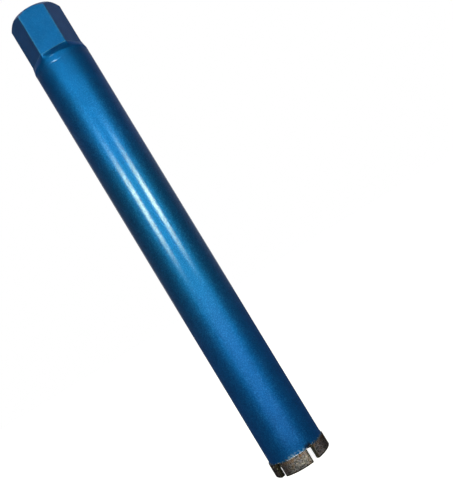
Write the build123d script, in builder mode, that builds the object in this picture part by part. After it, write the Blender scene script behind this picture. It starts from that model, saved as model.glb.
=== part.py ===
from build123d import *
import os
from math import asin, cos, degrees, radians, tan

# A diamond core bit: a thin steel barrel with sintered segments brazed round its lower end
# and a threaded hexagon hub welded into its upper end. Everything lies round the Z axis:
# the crown cuts at z = 0 and the hub faces up.

os.makedirs("parts", exist_ok=True)

# Crown
crown_diameter = 52.0  # across the segments, so the size of the hole that it drills
segment_count = 5
segment_length = 24.0  # chord, along the middle of its thickness
segment_height = 12.0
segment_overhang = 1.0  # beyond the barrel's wall, outside and inside
segment_corner = 1.0  # radius of its four upright edges
segment_wear = 0.7  # bevel that wear has put round its cutting face
first_segment_angle = -105.0  # middle of the first segment, round Z from +X

# Silver braze between the segments and the barrel
braze_film = 0.15
braze_fillet = 0.6  # how far it creeps up the barrel and out over the segment
braze_setback = 0.9  # from the ends of the segment
braze_clearance = 0.08  # between its fillets and the barrel's wall

# Barrel
barrel_wall = 2.0
working_length = 400.0  # from the crown's face to the bare part of the hexagon

# Weld between the barrel and the hub, ground smooth and painted
weld_slope_height = 6.0  # from the barrel's full diameter up to the hexagon
weld_land = 1.5  # below the slope, flush with the barrel's outside
weld_lip = 0.3  # how far its upper edge stands out from the hexagon
weld_bevel_angle = 30.0  # of the barrel's end under the weld, from square

# Hub
hub_across_flats = 41.0
hub_hexagon_length = 40.0  # the bare part, above the weld
hub_corner_radius = 0.8
hub_face_diameter = 39.6  # of the flat ring that meets the machine's spindle
hub_face_angle = 45.0  # of the turned edge round that ring
hub_neck_diameter = 40.0  # turned under the hexagon, where the weld is laid
spigot_length = 12.0
spigot_clearance = 0.05  # from the barrel's bore, all round
spigot_edge = 1.0

# Thread, 1 1/4 in - 7 UNC, bored here to its minor diameter
thread_minor_diameter = 28.0
thread_major_diameter = 31.75
thread_mouth_clearance = 0.4  # of each mouth's countersink beyond the major radius

# Worked out from the sizes above
crown_radius = crown_diameter / 2
barrel_radius = crown_radius - segment_overhang
barrel_bore_radius = barrel_radius - barrel_wall
segment_bore_radius = barrel_bore_radius - segment_overhang
segment_middle_radius = (crown_radius + segment_bore_radius) / 2
segment_arc = 2 * degrees(asin(segment_length / 2 / segment_middle_radius))
barrel_foot = segment_height + braze_film
weld_slope_foot = working_length - weld_slope_height
weld_foot = weld_slope_foot - weld_land
barrel_top = weld_foot + barrel_wall * tan(radians(weld_bevel_angle))
hub_top = working_length + hub_hexagon_length
hub_apothem = hub_across_flats / 2
hub_corner_reach = hub_apothem / cos(radians(30))
hub_face_radius = hub_face_diameter / 2
hub_corner_drop = (hub_corner_reach - hub_face_radius) * tan(radians(hub_face_angle))
hub_neck_radius = hub_neck_diameter / 2
spigot_radius = barrel_bore_radius - spigot_clearance
spigot_foot = barrel_top - spigot_length
bore_radius = thread_minor_diameter / 2
mouth_radius = thread_major_diameter / 2 + thread_mouth_clearance


def radial_plane(angle):
    """The upright plane through the axis, at an angle round it: x runs outwards, y runs up."""
    outwards = Vector(1, 0, 0).rotate(Axis.Z, angle)
    return Plane(origin=(0, 0, 0), x_dir=outwards, z_dir=outwards.rotate(Axis.Z, -90))


# The barrel: a plain tube, cut square where the segments sit and bevelled for the weld
with BuildPart() as barrel:
    with BuildSketch(radial_plane(0)):
        with BuildLine():
            Polyline(
                (barrel_bore_radius, barrel_foot),
                (barrel_radius, barrel_foot),
                (barrel_radius, weld_foot),
                (barrel_bore_radius, barrel_top),
                close=True,
            )
        make_face()
    revolve(axis=Axis.Z)
barrel.part.label = "barrel"
export_step(barrel.part, "parts/barrel.step")


# The hub: a hexagon, with a neck and a spigot turned below it, bored through for the thread
with BuildPart() as hub:
    with BuildSketch(Plane.XY.offset(working_length)) as hexagon:
        RegularPolygon(radius=hub_apothem, side_count=6, major_radius=False)
        fillet(hexagon.vertices(), radius=hub_corner_radius)
    extrude(amount=hub_hexagon_length)
    # The turned edge of its upper end cuts the six corners back
    with BuildSketch(radial_plane(0)):
        with BuildLine():
            Polyline(
                (0, working_length),
                (hub_corner_reach, working_length),
                (hub_corner_reach, hub_top - hub_corner_drop),
                (hub_face_radius, hub_top),
                (0, hub_top),
                close=True,
            )
        make_face()
    revolve(axis=Axis.Z, mode=Mode.INTERSECT)
    with BuildSketch(Plane.XY.offset(barrel_top)):
        Circle(hub_neck_radius)
    extrude(amount=working_length - barrel_top)
    with BuildSketch(Plane.XY.offset(spigot_foot)):
        Circle(spigot_radius)
    extrude(amount=spigot_length)
    chamfer(hub.faces().sort_by(Axis.Z)[0].edges(), length=spigot_edge)
    with Locations(Plane.XY.offset(hub_top)):
        Hole(radius=bore_radius)
    mouths = hub.edges().filter_by(GeomType.CIRCLE).filter_by(lambda edge: edge.radius == bore_radius)
    chamfer(mouths, length=mouth_radius - bore_radius)
hub.part.label = "hub"
export_step(hub.part, "parts/hub.step")


# The weld: it slopes from a hexagon round the hub down to the barrel's round outside.
# One sixth of the slope, below the flat that faces -Y, is repeated round the axis
lip_apothem = hub_apothem + weld_lip
lip_corner_x = lip_apothem * tan(radians(30))
with BuildPart() as weld_sixth:
    with BuildSketch(Plane.XY.offset(weld_slope_foot)):
        with BuildLine():
            toe = CenterArc((0, 0), barrel_radius, -120, 60)
            Polyline(toe @ 0, (0, 0), toe @ 1)
        make_face()
    with BuildSketch(Plane.XY.offset(working_length)):
        with BuildLine():
            Polyline((-lip_corner_x, -lip_apothem), (0, 0), (lip_corner_x, -lip_apothem), close=True)
        make_face()
    loft(ruled=True)

with BuildPart() as weld_ring:
    with PolarLocations(0, 6):
        add(weld_sixth.part)
    with BuildSketch(Plane.XY.offset(weld_foot)):
        Circle(barrel_radius)
    extrude(amount=weld_land)
    # What it is laid on: the barrel's bevelled end, the top of the spigot and the hub's neck
    with BuildSketch(radial_plane(0)):
        with BuildLine():
            Polyline(
                (0, weld_foot),
                (barrel_radius, weld_foot),
                (barrel_bore_radius, barrel_top),
                (hub_neck_radius, barrel_top),
                (hub_neck_radius, working_length),
                (0, working_length),
                close=True,
            )
        make_face()
    revolve(axis=Axis.Z, mode=Mode.SUBTRACT)
weld_ring.part.label = "weld_ring"
export_step(weld_ring.part, "parts/weld_ring.step")


# The segments, each with its own seam of braze, shared out evenly round the crown
for number in range(1, segment_count + 1):
    middle = first_segment_angle + (number - 1) * 360 / segment_count
    with BuildPart() as segment:
        with BuildSketch() as outline:
            with BuildLine():
                outside = CenterArc((0, 0), crown_radius, middle - segment_arc / 2, segment_arc)
                inside = CenterArc((0, 0), segment_bore_radius, middle - segment_arc / 2, segment_arc)
                Line(outside @ 0, inside @ 0)
                Line(outside @ 1, inside @ 1)
            make_face()
            fillet(outline.vertices(), radius=segment_corner)
        extrude(amount=segment_height)
        chamfer(segment.faces().sort_by(Axis.Z)[0].edges(), length=segment_wear)
    segment.part.label = f"segment_{number}"
    export_step(segment.part, f"parts/segment_{number}.step")

    seam_arc = segment_arc - 2 * degrees(braze_setback / segment_middle_radius)
    with BuildPart() as braze_seam:
        with BuildSketch(radial_plane(middle - seam_arc / 2)):
            with BuildLine():
                Polyline(
                    (barrel_bore_radius - braze_fillet, segment_height),
                    (barrel_radius + braze_fillet, segment_height),
                    (barrel_radius + braze_clearance, barrel_foot + braze_fillet),
                    (barrel_radius + braze_clearance, barrel_foot),
                    (barrel_bore_radius - braze_clearance, barrel_foot),
                    (barrel_bore_radius - braze_clearance, barrel_foot + braze_fillet),
                    close=True,
                )
            make_face()
        revolve(axis=Axis.Z, revolution_arc=seam_arc)
    braze_seam.part.label = f"braze_seam_{number}"
    export_step(braze_seam.part, f"parts/braze_seam_{number}.step")
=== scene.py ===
from math import atan2, cos, pi, radians, sin, sqrt

import bpy
import numpy as np
from mathutils import Matrix, Vector


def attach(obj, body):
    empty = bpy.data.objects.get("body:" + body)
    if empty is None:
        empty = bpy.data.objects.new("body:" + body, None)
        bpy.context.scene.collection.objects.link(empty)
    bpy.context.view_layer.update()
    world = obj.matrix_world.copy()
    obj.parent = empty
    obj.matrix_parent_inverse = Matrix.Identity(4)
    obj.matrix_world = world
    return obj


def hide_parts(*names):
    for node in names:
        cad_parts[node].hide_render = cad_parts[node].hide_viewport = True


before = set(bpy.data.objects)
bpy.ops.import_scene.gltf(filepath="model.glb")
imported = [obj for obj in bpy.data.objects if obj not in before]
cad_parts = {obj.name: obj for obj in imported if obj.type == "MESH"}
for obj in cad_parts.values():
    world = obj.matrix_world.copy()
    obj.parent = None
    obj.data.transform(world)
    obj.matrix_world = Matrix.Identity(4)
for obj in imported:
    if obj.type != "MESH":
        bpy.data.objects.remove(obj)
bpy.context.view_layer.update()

scene = bpy.context.scene
mm = 0.001
bitHeight = 440.0
print("frame loaded:", len(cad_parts), "solids")


# ---- meshes

# A field of ripples: the sum of plane waves, each sin(2 pi * distance along a random direction / wavelength
# + random phase), scaled so that most of it lies between -1 and 1
def ripples(seed, shortest, longest, *places, count=14):
    dice = np.random.default_rng(seed)
    total = 0.0
    for wave in range(count):
        direction = dice.normal(size=len(places))
        direction /= np.linalg.norm(direction)
        along = sum(part * place for part, place in zip(direction, places))
        total = total + np.sin(2 * pi * along / dice.uniform(shortest, longest) + dice.uniform(0, 2 * pi))
    return total / sqrt(2 * count)


# A smooth step from 0 to 1: 3 t^2 - 2 t^3, where t is how far the value has come from low to high
def smoothStep(low, high, value):
    t = np.clip((value - low) / (high - low), 0, 1)
    return t * t * (3 - 2 * t)


# Polar to upright coordinates: x = r cos(angle), y = r sin(angle), height stays
def turned(radius, angle, height):
    radius, angle, height = np.broadcast_arrays(radius, angle, height)
    return np.stack([radius * np.cos(angle), radius * np.sin(angle), height], axis=-1)


# The four corners of each face of a grid, which may close on itself in either direction
def gridFaces(rows, columns, closedRows=False, closedColumns=False):
    row, column = np.meshgrid(
        np.arange(rows if closedRows else rows - 1),
        np.arange(columns if closedColumns else columns - 1),
        indexing="ij",
    )
    nextRow, nextColumn = (row + 1) % rows, (column + 1) % columns
    corners = [row * columns + column, row * columns + nextColumn, nextRow * columns + nextColumn,
               nextRow * columns + column]
    return np.stack(corners, axis=-1).reshape(-1, 4)


# One mesh from grids in millimetres: points that coincide are merged, which closes seams and poles, a face
# with two corners in one place becomes a triangle, and the sum of p0 . (p1 x p2) says which way they all face
def makePiece(name, grids, finish, sharpAngle=30, marks=None):
    points = np.concatenate([places.reshape(-1, 3) for places, faces in grids])
    starts = np.cumsum([0] + [places.size // 3 for places, faces in grids])
    faces = np.concatenate([faces + start for (places, faces), start in zip(grids, starts)])
    points, first, merged = np.unique(np.round(points, 5), axis=0, return_index=True, return_inverse=True)
    faces = merged.reshape(-1)[faces]
    repeated = faces == np.roll(faces, -1, axis=1)
    quads = faces[repeated.sum(axis=1) == 0]
    folded = repeated.sum(axis=1) == 1
    thirds = faces[folded][~repeated[folded]].reshape(-1, 3)
    halves = np.concatenate([quads[:, [0, 1, 2]], quads[:, [0, 2, 3]], thirds])
    p0, p1, p2 = (points[halves[:, corner]] for corner in range(3))
    if np.einsum("ij,ij->", p0, np.cross(p1, p2)) < 0:
        quads, thirds = quads[:, ::-1], thirds[:, ::-1]
    sizes = np.concatenate([np.full(len(quads), 4), np.full(len(thirds), 3)])
    corners = np.concatenate([quads.ravel(), thirds.ravel()])
    mesh = bpy.data.meshes.new(name)
    mesh.vertices.add(len(points))
    mesh.vertices.foreach_set("co", (points * mm).ravel().astype(np.float32))
    mesh.loops.add(len(corners))
    mesh.loops.foreach_set("vertex_index", corners.astype(np.int32))
    mesh.polygons.add(len(sizes))
    mesh.polygons.foreach_set("loop_start", (np.cumsum(sizes) - sizes).astype(np.int32))
    mesh.update(calc_edges=True)
    for mark, values in (marks or {}).items():
        kept = np.concatenate([np.ravel(value) for value in values])[first]
        mesh.attributes.new(mark, "FLOAT", "POINT").data.foreach_set("value", kept.astype(np.float32))
    mesh.shade_smooth()
    mesh.set_sharp_from_angle(angle=radians(sharpAngle))
    mesh.materials.append(finish)
    piece = bpy.data.objects.new(name, mesh)
    scene.collection.objects.link(piece)
    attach(piece, "root")
    print("made", name, len(halves), "triangles")
    return piece


# ---- shader maths

# A socket that takes part in Python sums: every operator adds one Math node
class Wire:
    def __init__(self, tree, socket=None):
        self.tree = tree
        self.socket = socket

    # any node: its settings go in first, then the values or links of its sockets
    def node(self, kind, settings={}, sockets={}, output=0):
        made = self.tree.nodes.new(kind)
        for name, value in settings.items():
            if name == "stops":
                for stop, (place, colour) in enumerate(value):
                    element = made.color_ramp.elements[stop] if stop < 2 else made.color_ramp.elements.new(place)
                    element.position, element.color = place, colour
            else:
                setattr(made, name, value)
        for name, value in sockets.items():
            if isinstance(value, Wire):
                self.tree.links.new(value.socket, made.inputs[name])
            else:
                made.inputs[name].default_value = value
        return Wire(self.tree, made.outputs[output] if made.outputs else None)

    def maths(self, operation, *values, clamp=False):
        return self.node("ShaderNodeMath", {"operation": operation, "use_clamp": clamp}, dict(enumerate(values)))

    def __add__(self, other):
        return self.maths("ADD", self, other)

    def __radd__(self, other):
        return self.maths("ADD", other, self)

    def __sub__(self, other):
        return self.maths("SUBTRACT", self, other)

    def __rsub__(self, other):
        return self.maths("SUBTRACT", other, self)

    def __mul__(self, other):
        return self.maths("MULTIPLY", self, other)

    def __rmul__(self, other):
        return self.maths("MULTIPLY", other, self)

    def __truediv__(self, other):
        return self.maths("DIVIDE", self, other)

    def __rtruediv__(self, other):
        return self.maths("DIVIDE", other, self)

    # 0 below low, 1 above high and a smooth step between them
    def step(self, low, high):
        return self.node("ShaderNodeMapRange", {"interpolation_type": "SMOOTHSTEP"},
                         {"Value": self, "From Min": low, "From Max": high})

    # colour a where this mask is 0, colour b where it is 1
    def mix(self, a, b):
        return self.node("ShaderNodeMix", {"data_type": "RGBA"}, {0: self, 6: a, 7: b}, 2)

    def noise(self, place, scale, detail=2.0, roughness=0.5):
        return self.node("ShaderNodeTexNoise", {}, {"Vector": place, "Scale": scale, "Detail": detail,
                                                    "Roughness": roughness})


# A new material, with its tree and the place on the piece in metres
def newFinish(name):
    material = bpy.data.materials.new(name)
    material.use_nodes = True
    tree = material.node_tree
    tree.nodes.clear()
    start = Wire(tree)
    place = start.node("ShaderNodeTexCoord", {}, {}, "Object")
    return material, start, place


def closeFinish(start, sockets):
    shader = start.node("ShaderNodeBsdfPrincipled", {}, sockets)
    start.node("ShaderNodeOutputMaterial", {}, {"Surface": shader})


# Radius and height on the bit, in millimetres
def radiusAndHeight(start, place):
    x, y, z = (start.node("ShaderNodeSeparateXYZ", {}, {0: place}, axis) for axis in range(3))
    radius = start.maths("SQRT", x * x + y * y) * 1000.0
    return radius, z * 1000.0


# A bump of a height in metres
def bumped(start, height, distance, strength=1.0):
    return start.node("ShaderNodeBump", {}, {"Height": height, "Distance": distance, "Strength": strength})


# ---- camera

camera = {
    "place": (-11.76, -618.73, 168.06),
    "lookAt": (41.30, -1.44, 189.93),
    "roll": 31.362,
    "lens": 54.85,
}


def setCamera():
    place, lookAt = Vector(camera["place"]) * mm, Vector(camera["lookAt"]) * mm
    forward = (lookAt - place).normalized()
    upright = (Vector((0, 0, 1)) - forward * forward.z).normalized()
    up = upright * cos(radians(camera["roll"])) + forward.cross(upright) * sin(radians(camera["roll"]))
    data = bpy.data.cameras.new("camera")
    data.lens = camera["lens"]
    data.clip_start = 0.01
    data.clip_end = 50
    viewer = bpy.data.objects.new("camera", data)
    viewer.matrix_world = Matrix.Translation(place) @ Matrix((forward.cross(up), up, -forward)).transposed().to_4x4()
    scene.collection.objects.link(viewer)
    scene.camera = viewer


setCamera()
scene.view_settings.view_transform = "Standard"
print("camera set")


# ---- floor, backdrop and lamps

studio = {
    "floorWidth": 12.0,
    "floorColour": (0.8, 0.8, 0.8, 1),
    "floorShade": 0.10,  # the share of that colour that the bit mirrors
    "floorLift": 0.96,  # added to the lit floor for the camera
    "floorMirror": 0.14,  # and for glossy and transmission rays
    "floorAhead": 0.93,  # the same, in the pool of light between the bit and the camera
    "cornerLight": 0.075,  # the dark of the studio
    "aheadLight": 0.09,  # behind the camera
    "sideLight": 0.06,  # from the horizon behind the bit, and how much more of it there is on the right
    "rightLight": 0.105,
    "backLight": 0.37,  # straight behind the bit
    "aboveLight": 0.20,
    "softboxLight": 0.2,
    "softboxPlace": (0.0, 1.4, 1.5),
    "softboxWidth": 1.0,
    "panelColour": (0.92, 1.0, 0.68, 1),  # the warm lamps in the upright panels
}

# name, angle round the axis from the camera, distance, middle height, height, width, radiance
panels = [
    ("panelLeft", -22.2, 565, 320, 330, 180, 26.5),
    ("panelRight", 22.9, 565, 320, 330, 180, 28.5),
    ("panelHigh", -21.5, 650, 1000, 460, 200, 30.0),
    ("panelBehind", 180.0, 700, 260, 500, 200, 5.0),
]


# A soft panel: an upright sheet that faces the axis and glows most in its middle,
# glow = (1 - across^4)^2 * (1 - up^2)^5, where across and up run from -1 to 1
def addPanel(name, turn, distance, middle, height, width, radiance):
    across, up = np.meshgrid(np.linspace(-1, 1, 17), np.linspace(-1, 1, 41), indexing="ij")
    away = atan2(camera["place"][1], camera["place"][0]) + radians(turn)
    x = distance * cos(away) - across * width / 2 * sin(away)
    y = distance * sin(away) + across * width / 2 * cos(away)
    points = np.stack([x, y, middle + up * height / 2], axis=-1).reshape(-1, 3) * mm
    mesh = bpy.data.meshes.new(name)
    mesh.from_pydata(points.tolist(), [], gridFaces(17, 41).tolist())
    glow = (1 - across ** 4) ** 2 * (1 - up ** 2) ** 5
    mesh.attributes.new("glow", "FLOAT", "POINT").data.foreach_set("value", glow.ravel().astype(np.float32))
    material = bpy.data.materials.new(name)
    material.use_nodes = True
    material.node_tree.nodes.clear()
    start = Wire(material.node_tree)
    strength = start.node("ShaderNodeAttribute", {"attribute_name": "glow"}, {}, "Fac") * radiance
    light = start.node("ShaderNodeEmission", {}, {"Color": studio["panelColour"], "Strength": strength})
    start.node("ShaderNodeOutputMaterial", {}, {"Surface": light})
    mesh.materials.append(material)
    panel = bpy.data.objects.new(name, mesh)
    panel.visible_camera = False
    scene.collection.objects.link(panel)


# Radiance is power over pi times the area, so power = radiance * pi * area
def addSoftbox(name, place, width, radiance):
    data = bpy.data.lights.new(name, "AREA")
    data.shape = "DISK"
    data.size = width
    data.energy = radiance * pi * pi * width * width / 4
    lamp = bpy.data.objects.new(name, data)
    lamp.location = place
    lamp.rotation_euler = (Vector((0, 0, 0.2)) - Vector(place)).to_track_quat("-Z", "Y").to_euler()
    lamp.visible_camera = False
    scene.collection.objects.link(lamp)


def setStudio():
    for panel in panels:
        addPanel(*panel)
    addSoftbox("softboxAbove", studio["softboxPlace"], studio["softboxWidth"], studio["softboxLight"])

    half = studio["floorWidth"] / 2
    mesh = bpy.data.meshes.new("floor")
    mesh.from_pydata([(-half, -half, 0), (half, -half, 0), (half, half, 0), (-half, half, 0)], [], [(0, 1, 2, 3)])
    floor = bpy.data.objects.new("floor", mesh)
    scene.collection.objects.link(floor)
    material = bpy.data.materials.new("floorPaper")
    material.use_nodes = True
    material.node_tree.nodes.clear()
    start = Wire(material.node_tree)
    cameraRay, glossyRay, transmissionRay = (
        start.node("ShaderNodeLightPath", {}, {}, ray)
        for ray in ("Is Camera Ray", "Is Glossy Ray", "Is Transmission Ray"))
    spot = start.node("ShaderNodeTexCoord", {}, {}, "Object")
    sideways, ahead = (start.node("ShaderNodeSeparateXYZ", {}, {0: spot}, axis) for axis in range(2))
    ahead = 0 - ahead
    pool = ahead.step(0.05, 0.15) * (1 - (start.maths("ABSOLUTE", sideways) / (ahead + 0.02)).step(0.25, 0.75))
    mirrored = pool * studio["floorAhead"] + studio["floorMirror"]
    lift = cameraRay * studio["floorLift"] + (glossyRay + transmissionRay) * mirrored
    shade = [studio["floorShade"] * part for part in studio["floorColour"][:3]] + [1]
    colour = cameraRay.mix(shade, studio["floorColour"])
    paper = start.node("ShaderNodeBsdfDiffuse", {}, {"Color": colour})
    glow = start.node("ShaderNodeEmission", {}, {"Color": (1, 1, 1, 1), "Strength": lift})
    both = start.node("ShaderNodeAddShader", {}, {0: paper, 1: glow})
    start.node("ShaderNodeOutputMaterial", {}, {"Surface": both})
    mesh.materials.append(material)

    # The camera sees a white backdrop, and the bit a dark studio: light = corner + (side + right * step of x) *
    # step of y + back * a later step of y + above * step of z * step of y + ahead * step of -y
    world = bpy.data.worlds.new("studio")
    scene.world = world
    world.use_nodes = True
    world.node_tree.nodes.clear()
    start = Wire(world.node_tree)
    direction = start.node("ShaderNodeTexCoord", {}, {}, "Generated")
    right, back, above = (start.node("ShaderNodeSeparateXYZ", {}, {0: direction}, axis) for axis in range(3))
    light = (back.step(0.0, 0.6) * (right.step(-0.5, 0.8) * studio["rightLight"] + studio["sideLight"])
             + back.step(0.75, 0.98) * studio["backLight"]
             + above.step(0.3, 1.0) * back.step(-0.1, 0.4) * studio["aboveLight"]
             + (0 - back).step(0.6, 1.0) * studio["aheadLight"] + studio["cornerLight"])
    cameraRay = start.node("ShaderNodeLightPath", {}, {}, "Is Camera Ray")
    strength = cameraRay + (1 - cameraRay) * light
    glow = start.node("ShaderNodeBackground", {}, {"Color": (1, 1, 1, 1), "Strength": strength})
    start.node("ShaderNodeOutputWorld", {}, {"Surface": glow})
    print("studio lit")


setStudio()


# ---- finishes

paintLook = {
    "deepBlue": (0.002, 0.139, 0.50, 1),
    "brightBlue": (0.004, 0.160, 0.57, 1),
    "flakeBlue": (0.03, 0.30, 0.82, 1),
    "middleBlue": (0.003, 0.142, 0.37, 1),
    "shadowBlue": (0.0, 0.075, 0.33, 1),
    # near black, for the painted shade above a waterway
    "paintedGapShade": (0.012, 0.014, 0.02, 1),
    "inside": (0.10, 0.085, 0.075, 1),
    "flux": (0.34, 0.62, 0.90, 1),
    "bareSteel": (0.48, 0.56, 0.64, 1),
    "rust": (0.30, 0.11, 0.035, 1),
    "metallic": 0.95,
    "roughness": 0.50,
    # clear coat along the bit, as (height in mm, share): heat and handling have dulled it near the ends
    "coat": [(0, 0.17), (105, 0.30), (190, 0.74), (250, 0.84), (325, 0.84), (365, 0.62), (384, 0.55), (386.5, 0.95),
             (389.5, 0.95), (391, 0.30), (399.7, 0.35), (400.5, 0.85)],
    "coatRoughness": 0.16,
    "thinBehind": 0.85,  # how much of the clear coat is missing on the back half
    "edgeTint": (0.25, 0.42, 0.7, 1),
    "flakeScale": 4200.0,
    "flakeHeight": 0.00003,
    "grainScale": 1000.0,
    "fineGrainScale": 2700.0,
    "driftScale": 60.0,  # slow changes of the blue, waves of the coat, scuffs, the ragged edge and rust
    "peelScale": 900.0,
    "scuffScale": 420.0,
    "edgeScale": 700.0,
    "rustScale": 260.0,
    "grain": 2.2,  # how far the grain's two sizes move the blue, and the clear coat's share
    "hubGrain": 0.8,
    "coatGrain": 3.0,
    # the lighter blue of the painted highlights on the hub's edges and the weld's lip
    "edgeHighlightBlue": (0.12, 0.40, 0.70, 1),
    "edgeHeight": 12.5,  # where the paint ends above the crown, and how ragged its edge is
    "edgeRagged": 2.6,
    "rubbedFrom": -12.0,  # where the paint over the braze has been rubbed through, along X
    "rubbedTo": 6.0,
}


# 1 where the paint over the braze has been rubbed through: a stretch along X, at the front only
def inFront(start, place):
    x, y = (start.node("ShaderNodeSeparateXYZ", {}, {0: place}, axis) * 1000.0 for axis in range(2))
    first, last = paintLook["rubbedFrom"], paintLook["rubbedTo"]
    return x.step(first - 2, first + 2) * (1 - x.step(last - 2, last + 2)) * (1 - y.step(-12.0, -8.0))


def bluePaint():
    material, start, place = newFinish("bluePaint")
    radius, height = radiusAndHeight(start, place)
    flakes = start.node("ShaderNodeTexVoronoi", {"feature": "F1"},
                        {"Vector": place, "Scale": paintLook["flakeScale"]}, "Color")
    flake = start.node("ShaderNodeSeparateColor", {}, {0: flakes}, 0)
    drift = start.noise(place, paintLook["driftScale"], 3.0)
    orangePeel = start.noise(place, paintLook["peelScale"], 1.0)
    blue = drift.step(0.3, 0.7).mix(paintLook["deepBlue"], paintLook["brightBlue"])
    # the paint is a little greener along the middle of the barrel
    along = height.step(100.0, 190.0) * (1 - height.step(265.0, 315.0))
    blue = (along * 0.6).mix(blue, paintLook["middleBlue"])
    coarse = start.noise(place, paintLook["grainScale"], 1.0, 0.6) - 0.5
    fine = start.noise(place, paintLook["fineGrainScale"], 2.0, 0.7) - 0.5
    towardsHub = height.step(330.0, 398.0)
    grain = (coarse + fine * 0.7) * (towardsHub * (paintLook["hubGrain"] - paintLook["grain"]) + paintLook["grain"])
    blue = start.maths("MULTIPLY", grain, -1.0, clamp=True).mix(blue, paintLook["shadowBlue"])
    blue = start.maths("ADD", grain, flake.step(0.86, 1.0) * 0.25, clamp=True).mix(blue, paintLook["flakeBlue"])
    # painted highlight: a lighter blue on the hexagon's corners, along the hub's turned edge and on the weld's lip
    rubbedAndEdgeHighlight = start.node("ShaderNodeAttribute", {"attribute_name": "rubbedAndEdgeHighlight"}, {}, "Fac")
    scuffs = start.noise(place, paintLook["scuffScale"], 3.0, 0.6)
    blue = (rubbedAndEdgeHighlight * (scuffs * 1.6 - 0.1)).mix(blue, paintLook["edgeHighlightBlue"])
    # painted shade: nearly black on the barrel just above one waterway, strongest towards the front
    paintedGapShade = start.node("ShaderNodeAttribute", {"attribute_name": "paintedGapShade"}, {}, "Fac")
    blue = (paintedGapShade * (scuffs * 1.2 + 0.3)).mix(blue, paintLook["paintedGapShade"])
    # smears of flux from the braze, just above the crown
    smear = inFront(start, place) * (1 - height.step(13.0, 16.0)) * scuffs.step(0.50, 0.58)
    blue = (smear * 0.75).mix(blue, paintLook["flux"])
    # where paint is missing: inside the barrel, and in chips along the crown
    ragged = start.noise(place, paintLook["edgeScale"], 4.0, 0.6)
    edge = height - (ragged - 0.5) * (2 * paintLook["edgeRagged"])
    bare = 1 - edge.step(paintLook["edgeHeight"] - 0.15, paintLook["edgeHeight"] + 0.15)
    inside = (1 - radius.step(23.4, 24.4)) * (1 - height.step(392.0, 393.0))
    rustPatch = start.noise(place, paintLook["rustScale"], 5.0, 0.65)
    steel = rustPatch.step(0.48, 0.62).mix(paintLook["bareSteel"], paintLook["rust"])
    dull = rustPatch.step(0.4, 0.75).mix(paintLook["inside"], paintLook["rust"])
    colour = bare.mix(blue, steel)
    colour = inside.mix(colour, dull)
    coated = (1 - bare) * (1 - inside)
    stops = [(z / bitHeight, (share, share, share, 1)) for z, share in paintLook["coat"]]
    # the clear coat is thinner behind, where the front panels would flare along the outline
    y = start.node("ShaderNodeSeparateXYZ", {}, {0: place}, 1) * 1000.0
    thickness = coated * (1 - y.step(0.5, 6.0) * paintLook["thinBehind"])
    clearCoat = start.node("ShaderNodeValToRGB", {"stops": stops}, {"Fac": height / bitHeight}) * thickness
    closeFinish(start, {
        "Base Color": colour,
        "Metallic": coated * (paintLook["metallic"] - 0.6) + 0.6,
        "Roughness": coated * (paintLook["roughness"] - 0.62) + 0.62 + (flake - 0.5) * 0.12,
        "Coat Weight": clearCoat * ((coarse + fine) * paintLook["coatGrain"] + 1.0),
        "Coat Roughness": paintLook["coatRoughness"],
        "Coat IOR": 1.5,
        "Specular Tint": paintLook["edgeTint"],
        "Normal": bumped(start, flake * 0.5 + orangePeel * 0.4 + bare * 1.5, paintLook["flakeHeight"]),
    })
    return material


segmentLook = {
    "matrix": (0.66, 0.62, 0.70, 1),
    "bronze": (0.66, 0.50, 0.42, 1),
    "shade": (0.060, 0.053, 0.052, 1),
    "rust": (0.45, 0.21, 0.09, 1),
    "endFaceShade": (0.035, 0.030, 0.020, 1),  # painted shade on the end faces, beside the waterways
    "grit": (0.72, 0.74, 0.74, 1),
    # lighter edges: rubbed wear and a painted highlight
    "edgeWearAndHighlight": (0.50, 0.47, 0.45, 1),
    "edgeTint": (0.20, 0.185, 0.18, 1),
    "overspray": (0.06, 0.10, 0.17, 1),
    "metallic": 0.95,
    "roughness": 0.29,
    "blotchScale": 300.0,
    "patchScale": 620.0,
    "grainScale": 2600.0,
    "crystalScale": 1150.0,
    "lineScale": (60.0, 60.0, 3600.0),
    "relief": 0.00012,
}


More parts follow.
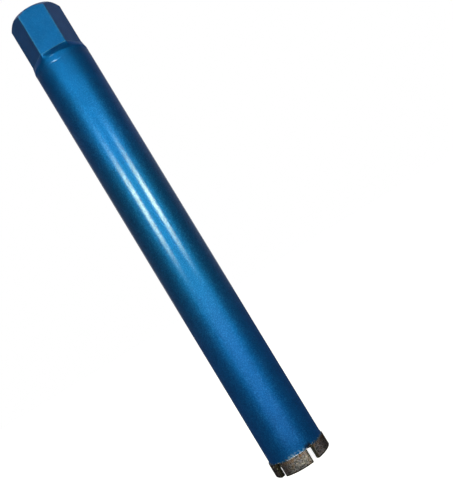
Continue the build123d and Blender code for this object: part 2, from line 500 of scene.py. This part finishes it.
def sinteredMetal():
    material, start, place = newFinish("sinteredMetal")
    radius, height = radiusAndHeight(start, place)
    blotches = start.noise(place, segmentLook["blotchScale"], 5.0, 0.6)
    patches = start.noise(place, segmentLook["patchScale"], 4.0, 0.65)
    grain = start.noise(place, segmentLook["grainScale"], 3.0, 0.6)
    wornAndEdgeHighlight = start.node("ShaderNodeAttribute", {"attribute_name": "wornAndEdgeHighlight"}, {}, "Fac")
    # grinding lines run round the crown, so they change with height and hardly along the arc
    stretch = start.node("ShaderNodeMapping", {}, {"Vector": place, "Scale": segmentLook["lineScale"]})
    lines = start.noise(stretch, 1.0, 3.0, 0.55)
    outside = radius.step(25.3, 25.8)
    crystals, crystalPick = (
        start.node("ShaderNodeTexVoronoi", {"feature": "F1"},
                   {"Vector": place, "Scale": segmentLook["crystalScale"]}, output)
        for output in ("Distance", "Color"))
    picked = start.node("ShaderNodeSeparateColor", {}, {0: crystalPick}, 1).step(0.84, 0.88)
    crystal = (1 - crystals.step(0.20, 0.32)) * picked
    base = blotches.step(0.40, 0.64).mix(segmentLook["matrix"], segmentLook["bronze"])
    base = (patches.step(0.47, 0.60) * 0.85).mix(base, segmentLook["shade"])
    base = ((1 - blotches.step(0.34, 0.50)) * 0.6).mix(base, segmentLook["shade"])
    base = (grain.step(0.5, 0.75) * 0.45).mix(base, segmentLook["shade"])
    base = (outside * (1 - lines.step(0.36, 0.55)) * 0.5).mix(base, segmentLook["shade"])
    heated = height.step(8.0, 11.5) * blotches.step(0.44, 0.60)
    base = (heated * 0.7).mix(base, segmentLook["rust"])
    # painted shade: the crown is darker on both sides, along X, than in front
    x = start.node("ShaderNodeSeparateXYZ", {}, {0: place}, 0) * 1000.0
    paintedSideShade = 1 - x.step(-16.0, -10.0) + x.step(17.0, 22.0)
    base = (paintedSideShade * 0.6).mix(base, segmentLook["shade"])
    # the edges are lighter: rubbed wear, together with a painted highlight along them
    base = (wornAndEdgeHighlight * 0.75 * (1 - paintedSideShade * 0.5)).mix(base, segmentLook["edgeWearAndHighlight"])
    # painted shade darkens the rim of the cutting face, below the lighter edge line
    base = ((1 - height.step(0.8, 1.5)) * (0.6 + patches * 0.7)).mix(base, segmentLook["shade"])
    # painted shade on the end faces, in the narrow gaps between segments
    ends = start.node("ShaderNodeAttribute", {"attribute_name": "end"}, {}, "Fac")
    base = (ends * (1.15 - patches * 0.5)).mix(base, segmentLook["endFaceShade"])
    base = crystal.mix(base, segmentLook["grit"])
    # paint has dusted over the inside, and the cutting face carries a thin blue coat
    within = (1 - radius.step(22.3, 23.4)) * blotches.step(0.32, 0.55)
    below = (1 - height.step(0.05, 0.35)) * patches.step(0.30, 0.45)
    dusted = start.maths("MAXIMUM", within, below)
    base = (dusted * 0.8).mix(base, segmentLook["overspray"])
    relief = lines * outside * 1.0 + grain * 0.5 + patches * 0.8 + crystal * 0.9 - blotches * 0.4
    closeFinish(start, {
        "Base Color": base,
        "Metallic": (1 - crystal) * (1 - dusted) * (1 - ends * 0.7) * segmentLook["metallic"],
        "Roughness": (grain - 0.5) * 0.3 - wornAndEdgeHighlight * 0.12 + segmentLook["roughness"],
        "Specular Tint": segmentLook["edgeTint"],
        "Normal": bumped(start, relief, segmentLook["relief"]),
    })
    return material


brazeLook = {
    "silver": (0.56, 0.64, 0.98, 1),
    "tarnish": (0.30, 0.20, 0.12, 1),
    "spray": (0.006, 0.09, 0.24, 1),
    "patchScale": 560.0,
    "fineScale": 1800.0,
    "relief": 0.0001,
}


def silverBraze():
    material, start, place = newFinish("silverBraze")
    radius, height = radiusAndHeight(start, place)
    patches = start.noise(place, brazeLook["patchScale"], 4.0, 0.65)
    fine = start.noise(place, brazeLook["fineScale"], 2.0)
    rubbedAndEdgeHighlight = inFront(start, place)
    base = fine.step(0.45, 0.75).mix(brazeLook["silver"], brazeLook["tarnish"])
    sprayed = (patches - rubbedAndEdgeHighlight * 0.17).step(0.31, 0.37) * radius.step(24.0, 24.5)
    base = sprayed.mix(base, brazeLook["spray"])
    closeFinish(start, {
        "Base Color": base,
        "Metallic": 1 - sprayed * 0.3,
        "Roughness": 0.30 + fine * 0.25,
        "Normal": bumped(start, fine + patches * 2.0, brazeLook["relief"]),
    })
    return material


paint = bluePaint()
sintered = sinteredMetal()
braze = silverBraze()
print("finishes made")


# ---- barrel

barrel = {
    "radius": 25.0,
    "bore": 23.0,
    "foot": 12.15,
    "top": 392.5,
    "bevelTop": 393.6547,
    "edge": 0.15,
    "waviness": 0.012,
    "waveLength": 60.0,
    "waterway": -69.0,  # the angle of the gap between two segments above which painted shade darkens the paint most
    "groove": 388.0,  # a fine turned line below the weld
    "grooveDepth": 0.15,
    "grooveWidth": 0.46,
    "grooveAngle": -107.0,
}


# A tube: the loop of its wall's section turned round the axis, its outside moved in by faint long ripples
def barrelGrid(columns=288, rows=150):
    angle = np.linspace(0, 2 * pi, columns, endpoint=False)[None, :]
    foot, edge, groove = barrel["foot"], barrel["edge"], barrel["groove"]
    corner = np.linspace(0, pi / 2, 4)
    side = np.concatenate([np.linspace(foot + 0.5, foot + 6, 12), np.linspace(foot + 8, groove - 1.2, rows),
                           np.linspace(groove - 0.9, groove + 0.9, 19), [groove + 2, groove + 3, barrel["top"]]])
    outerHeight = np.concatenate([foot + edge * (1 - np.cos(corner)), side])
    outerRadius = np.concatenate([barrel["radius"] - edge * (1 - np.sin(corner)), np.full(side.size, barrel["radius"])])
    innerHeight = np.linspace(barrel["bevelTop"], foot + 0.4, 40)
    innerHeight = np.concatenate([innerHeight, foot + edge * (1 - np.cos(corner[::-1]))])
    innerRadius = np.concatenate([np.full(40, barrel["bore"]), barrel["bore"] + edge * (1 - np.sin(corner[::-1]))])
    radius = np.concatenate([outerRadius, innerRadius])[:, None]
    height = np.concatenate([outerHeight, innerHeight])[:, None]
    x, y = radius * np.cos(angle), radius * np.sin(angle)
    hold = smoothStep(foot, foot + 8, height) * (1 - smoothStep(384, 392, height))
    sway = ripples(3, barrel["waveLength"], 2.4 * barrel["waveLength"], x, y, height + 0 * angle)
    outside = radius > (barrel["radius"] + barrel["bore"]) / 2
    radius = radius - outside * hold * barrel["waviness"] * (1 + sway)
    # the groove: depth * exp(-(distance / width)^2), deepest at one angle and shallow elsewhere
    away = (height - groove) / barrel["grooveWidth"]
    deeper = 0.25 + 0.75 * np.maximum(np.cos(angle - radians(barrel["grooveAngle"])), 0) ** 16
    radius = radius - outside * barrel["grooveDepth"] * np.exp(-away * away) * deeper
    places = turned(radius, angle, height)
    # painted shade = 1 above a waterway, fading over 5 degrees to its sides and over 3 mm upwards
    fromGap = np.abs((np.degrees(angle) - barrel["waterway"] + 36) % 72 - 36)
    paintedGapShade = (1 - smoothStep(4, 10, fromGap)) * (1 - smoothStep(foot + 1.2, foot + 4.5, height))
    paintedGapShade = paintedGapShade * np.maximum(np.cos(angle - radians(barrel["waterway"])), 0) ** 2
    return (places, gridFaces(places.shape[0], columns, True, True)), paintedGapShade


barrelWall, paintedGapShade = barrelGrid()
barrelPiece = makePiece("barrelTube", [barrelWall], paint, marks={"paintedGapShade": [paintedGapShade]})
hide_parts("barrel")


# ---- hub

hub = {
    "apothem": 20.5,
    "cornerRadius": 0.8,
    "foot": 381.6547,
    "spigot": 22.95,
    "spigotEdge": 1.0,
    "shoulder": 393.6547,
    "neck": 20.0,
    "hexagonFoot": 400.0,
    "top": 440.0,
    "faceRadius": 19.8,
    "mouth": 16.275,
    "minor": 14.0,
    "major": 15.875,
    "pitch": 3.6286,
    "edge": 0.25,
}


# A hexagon with rounded corners: each corner is an arc of 60 degrees round a centre on the corner's line,
# and the flats run between them. Gives the angle and radius of each point round the axis
def hexagonOutline(apothem, cornerRadius, arcSteps=8, flatSteps=12):
    reach = (apothem - cornerRadius) / cos(radians(30))
    angles, radii = [], []
    halfFlat = reach / 2
    along = np.linspace(-halfFlat, halfFlat, flatSteps + 1)[1:-1]
    along = np.concatenate([[-halfFlat + 0.35], along, [halfFlat - 0.35]])
    for corner in range(6):
        middle = radians(60 * corner)
        swing = middle + np.linspace(-pi / 6, pi / 6, arcSteps + 1)
        x = reach * cos(middle) + cornerRadius * np.cos(swing)
        y = reach * sin(middle) + cornerRadius * np.sin(swing)
        flat = middle + pi / 6
        x = np.concatenate([x, apothem * cos(flat) - along * sin(flat)])
        y = np.concatenate([y, apothem * sin(flat) + along * cos(flat)])
        angles.append(np.unwrap(np.arctan2(y, x)))
        radii.append(np.hypot(x, y))
    angles = np.unwrap(np.concatenate(angles))
    return angles, np.concatenate(radii)


# The thread's section over one turn: the crest at the minor radius for a quarter of the pitch, straight sides,
# and a root of an eighth of the pitch at the major radius
def threadRadius(phase):
    phase = phase % 1.0
    return np.interp(phase, [0, 0.25, 0.5625, 0.6875, 1.0],
                     [hub["minor"], hub["minor"], hub["major"], hub["major"], hub["minor"]])


# The bore: rows climb with the thread, height = row / 16 * pitch + angle / 2 pi * pitch, and are cut off at
# both ends; radius = the greater of the thread's section and the cone of the nearer mouth
def threadGrid(angles):
    turn = np.append(angles, angles[0] + 2 * pi)[None, :]
    low, high, pitch = hub["foot"], hub["top"], hub["pitch"]
    turns = int((high - low) / pitch) + 3
    row = np.arange(turns * 16, -17, -1)[:, None]
    climb = (turn - angles[0]) / (2 * pi)
    height = np.clip(low + (row / 16 - 1 + climb) * pitch, low, high)
    phase = (height - low) / pitch - climb
    cone = np.maximum(hub["mouth"] - (high - height), hub["mouth"] - (height - low))
    radius = np.maximum(threadRadius(phase), cone)
    places = turned(radius, turn, height)
    return places, gridFaces(places.shape[0], places.shape[1])


# The outside: one row for each edge of the section, from the lower mouth round the spigot, the neck and the
# hexagon to the upper mouth; the turned edge meets the flats where their radius = face radius + drop
def hubOutsideGrid(angles, radii):
    one = np.ones_like(radii)
    drop = radii - hub["faceRadius"]
    edge = hub["edge"]
    rows = [
        (hub["mouth"] * one, hub["foot"] * one),
        ((hub["spigot"] - hub["spigotEdge"]) * one, hub["foot"] * one),
        (hub["spigot"] * one, (hub["foot"] + hub["spigotEdge"]) * one),
        (hub["spigot"] * one, hub["shoulder"] * one),
        (hub["neck"] * one, hub["shoulder"] * one),
        (hub["neck"] * one, hub["hexagonFoot"] * one),
        (radii, hub["hexagonFoot"] * one),
    ]
    for height in np.linspace(hub["hexagonFoot"] + 0.5, hub["top"] - 5.5, 16):
        rows.append((radii, height * one))
    for part in (0.35, 0.7, 0.95, 1.0):
        rows.append((radii, hub["top"] - 5.5 + (5.5 - drop) * part))
    for part in (0.05, 0.3, 0.6, 0.95):
        rows.append((radii - drop * part, hub["top"] - drop * (1 - part)))
    rows.append((hub["faceRadius"] * one, hub["top"] * one))
    rows.append(((hub["faceRadius"] - edge) * one, hub["top"] * one))
    rows.append(((hub["mouth"] + edge) * one, hub["top"] * one))
    rows.append((hub["mouth"] * one, hub["top"] * one))
    radius = np.array([row[0] for row in rows])
    height = np.array([row[1] for row in rows])
    places = turned(radius, angles[None, :], height)
    # the painted highlight mark = 1 on the corners of the hexagon, where the radius is greatest, and along the turned
    # edge
    corner = 0.4 * smoothStep(23.2, 23.5, radii)[None, :] * smoothStep(hub["hexagonFoot"] - 0.1, 401, height)
    turnedEdge = 1 - smoothStep(0.0, 0.4, np.abs(height - (hub["top"] - drop)))
    rubbedAndEdgeHighlight = np.maximum(corner, turnedEdge * 0.15) * (radius > hub["faceRadius"])
    return (places, gridFaces(places.shape[0], places.shape[1], False, True)), rubbedAndEdgeHighlight


hubAngles, hubRadii = hexagonOutline(hub["apothem"], hub["cornerRadius"])
hubOutside, hubEdgeHighlight = hubOutsideGrid(hubAngles, hubRadii)
hubThread = threadGrid(hubAngles)
hubPiece = makePiece("threadedHub", [hubOutside, hubThread], paint,
                     marks={"rubbedAndEdgeHighlight": [hubEdgeHighlight, np.zeros(hubThread[0].shape[:2])]})
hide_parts("hub")


# ---- weld

weld = {
    "foot": 392.5,
    "slopeFoot": 394.0,
    "top": 400.0,
    "radius": 25.0,
    "lipApothem": 20.8,
    "lipCorner": 1.3,
    "toe": 0.95,  # how softly the slope turns into the barrel's side
    "waviness": 0.10,
    "bevelTop": 393.6547,
}


# The shoulder: radius = smooth minimum of the barrel's and of a straight slope up to the hexagon, where
# smooth minimum = minimum - k h^2 / 4 and h = how close the two are, from 0 to 1; faint ripples of grinding
def weldGrid():
    angles, tops = hexagonOutline(weld["lipApothem"], weld["lipCorner"], 10, 16)
    height = np.concatenate([np.linspace(weld["foot"], weld["top"] - 0.12, 30), [weld["top"]]])[:, None]
    slope = (weld["radius"] - tops) / (weld["top"] - weld["slopeFoot"])
    line = tops + (weld["top"] - height) * slope
    softness = np.minimum(weld["toe"], (weld["slopeFoot"] - weld["foot"]) * slope * 0.95)
    near = np.maximum(softness - np.abs(line - weld["radius"]), 0) / softness
    radius = np.minimum(line, weld["radius"]) - softness * near * near / 4
    x, y = radius * np.cos(angles), radius * np.sin(angles)
    hold = smoothStep(weld["foot"] + 0.5, weld["slopeFoot"] + 1, height)
    hold = hold * (1 - smoothStep(weld["top"] - 1.4, weld["top"] - 0.2, height))
    radius = radius - weld["waviness"] * hold * (1 + ripples(8, 7, 19, x, y, height + 0 * x))
    one = np.ones_like(tops)[None, :]
    inner = [(hub["neck"], weld["top"]), (hub["neck"], weld["bevelTop"]), (barrel["bore"], weld["bevelTop"])]
    radius = np.concatenate([radius] + [r * one for r, z in inner])
    height = np.concatenate([height * one] + [z * one for r, z in inner])
    places = turned(radius, angles[None, :], height)
    # painted highlight along the top of the weld, under the hexagon's flats
    rubbedAndEdgeHighlight = smoothStep(weld["top"] - 0.8, weld["top"] - 0.3, height) * (radius > 20.1) * one
    return (places, gridFaces(places.shape[0], places.shape[1], True, True)), rubbedAndEdgeHighlight


weldSkin, weldEdgeHighlight = weldGrid()
weldPiece = makePiece("weldShoulder", [weldSkin], paint, 40, {"rubbedAndEdgeHighlight": [weldEdgeHighlight]})
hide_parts("weld_ring")


# ---- segments

segment = {
    "count": 5,
    "firstAngle": -105.0,
    "middleRadius": 24.0,
    "halfThickness": 2.0,
    "arc": 60.0,
    "height": 12.0,
    "cornerRadius": 0.55,
    "wear": 0.7,
    "topEdge": 0.18,
    "grooveDepth": 0.05,
}


# A rounded rectangle, moved in by an inset: two long sides, two ends and four corner arcs whose radius is
# what the inset leaves of them. Gives how far each point lies outwards and along the arc
def segmentOutline(inset, longSteps=70, arcSteps=7, endSteps=3):
    halfLength = radians(segment["arc"]) * segment["middleRadius"] / 2 - inset
    half = segment["halfThickness"] - inset
    corner = max(segment["cornerRadius"] - inset, 0)
    side = np.linspace(-1, 1, longSteps) * (halfLength - corner)
    swing = np.linspace(0, pi / 2, arcSteps + 2)[1:-1]
    end = np.linspace(1, -1, endSteps + 2) * (half - corner)
    out = np.concatenate([np.full(longSteps, half), half - corner + corner * np.cos(swing), end,
                          -(half - corner) - corner * np.sin(swing)])
    along = np.concatenate([side, halfLength - corner + corner * np.sin(swing), np.full(endSteps + 2, halfLength),
                            halfLength - corner + corner * np.cos(swing)])
    return np.concatenate([out, -out]), np.concatenate([along, -along])


# A segment: outlines stacked from the middle of its cutting face, out over its worn edge, up its sides and in
# over its top, bent round the axis: radius = 24 + out, angle = middle + along / 24. The outside moves in by
# grinding grooves. The mark "worn" is 1 along the edges, where a lighter colour gives both rubbed wear and a
# painted highlight, and "end" is 1 on the two end faces
def segmentGrid(number):
    middle = radians(segment["firstAngle"] + number * 360 / segment["count"])
    swing = np.linspace(0, pi / 2, 6)
    wear, top, edge = segment["wear"], segment["height"], segment["topEdge"]
    rows = [(0, 2.0), (0, 1.5), (0, 1.0)]
    rows += [(wear * (1 - cos(s)), wear * (1 - sin(s))) for s in swing]
    rows += [(z, 0) for z in np.linspace(wear + 0.1, top - edge - 0.05, 104)]
    rows += [(top - edge * (1 - sin(s)), edge * (1 - cos(s))) for s in swing[1:]]
    rows += [(top, 0.8), (top, 1.4), (top, 2.0)]
    outlines = [segmentOutline(inset) for z, inset in rows]
    out = np.array([outline[0] for outline in outlines])
    along = np.array([outline[1] for outline in outlines])
    height = np.array([z for z, inset in rows])[:, None] + 0 * out
    radius = segment["middleRadius"] + out
    angle = middle + along / segment["middleRadius"]
    x, y = radius * np.cos(angle), radius * np.sin(angle)
    inset = np.array([inset for z, inset in rows])[:, None]
    outer = smoothStep(1.2, 1.95, out) * smoothStep(0.2, 1.6, height)
    outer = outer * (1 - smoothStep(top - 0.8, top - 0.2, height))
    grooves = ripples(20 + number, 0.35, 1.1, height + 0.02 * along, count=18)
    patches = ripples(30 + number, 2.5, 7.0, x, y, height)
    radius = radius - outer * segment["grooveDepth"] * np.maximum(1 + grooves, 0) * (1 + 0.5 * patches)
    halfLength = radians(segment["arc"]) * segment["middleRadius"] / 2
    lift = smoothStep(0.0, 0.9, segment["wear"] + 0.5 - np.minimum(height, top - height)) * (inset < 0.75)
    ends = smoothStep(halfLength - 1.3, halfLength - 0.4, np.abs(along)) * smoothStep(0.9, 1.9, np.abs(out))
    wornAndEdgeHighlight = np.clip(np.maximum(lift * (np.abs(out) > 1.2), ends) * (0.65 + 0.5 * patches), 0, 1)
    end = smoothStep(halfLength - 1.2, halfLength - 0.6, np.abs(along)) * (inset < 0.5)
    places = turned(radius, angle, height)
    return (places, gridFaces(places.shape[0], places.shape[1], False, True)), wornAndEdgeHighlight, end


for number in range(segment["count"]):
    grid, wornAndEdgeHighlight, end = segmentGrid(number)
    marks = {"wornAndEdgeHighlight": [wornAndEdgeHighlight], "end": [end]}
    piece = makePiece(f"crownSegment.{number + 1}", [grid], sintered, 35, marks)
    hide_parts(f"segment_{number + 1}")


# ---- braze

bead = {
    "setback": 0.9,
    "foot": 12.0,
    "film": 12.15,
    "outside": 25.01,
    "inside": 22.99,
    "creep": 0.62,
    "creepChange": 0.30,
}


# A seam: its section is the film under the barrel with a hollow fillet on both sides, and the fillets' reach
# up the barrel and out over the segment changes along the arc by ripples; both ends close in their middle
def brazeGrid(number, steps=150):
    middle = radians(segment["firstAngle"] + number * 360 / segment["count"])
    half = (radians(segment["arc"]) - 2 * bead["setback"] / segment["middleRadius"]) / 2
    along = np.linspace(-half, half, steps)
    arc = along * segment["middleRadius"]
    fade = np.sqrt(np.clip(1 - (np.abs(along) / half) ** 14, 0, 1))
    up = bead["creep"] + bead["creepChange"] * ripples(40 + number, 1.2, 5, arc)
    out = bead["creep"] * 0.9 + 0.6 * bead["creepChange"] * ripples(50 + number, 1.5, 6, arc)
    reachUp = np.clip(up * (0.35 + 0.65 * fade), 0.12, 1.2)[:, None]
    reachOut = np.clip(out * (0.3 + 0.7 * fade), 0.10, 0.93)[:, None]
    t = np.linspace(0, 1, 7)[None, :]
    outR = bead["outside"] + reachOut * (1 - t) ** 1.6
    outZ = bead["foot"] + reachUp * t ** 1.6
    inR = bead["inside"] - reachOut * (1 - t[:, ::-1]) ** 1.6
    inZ = bead["foot"] + reachUp * t[:, ::-1] ** 1.6
    film = np.full_like(reachUp, bead["film"])
    radius = np.concatenate([outR, 24.8 + 0 * film, 23.2 + 0 * film, inR], axis=1)
    height = np.concatenate([outZ, film, film, inZ], axis=1)
    angle = (middle + along)[:, None]
    for end in (0, -1):
        radius[end, :] = segment["middleRadius"]
        height[end, :] = 12.07
    places = turned(radius, angle, height)
    return places, gridFaces(places.shape[0], places.shape[1], False, True)


for number in range(segment["count"]):
    piece = makePiece(f"brazeBead.{number + 1}", [brazeGrid(number)], braze, 60)
    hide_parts(f"braze_seam_{number + 1}")
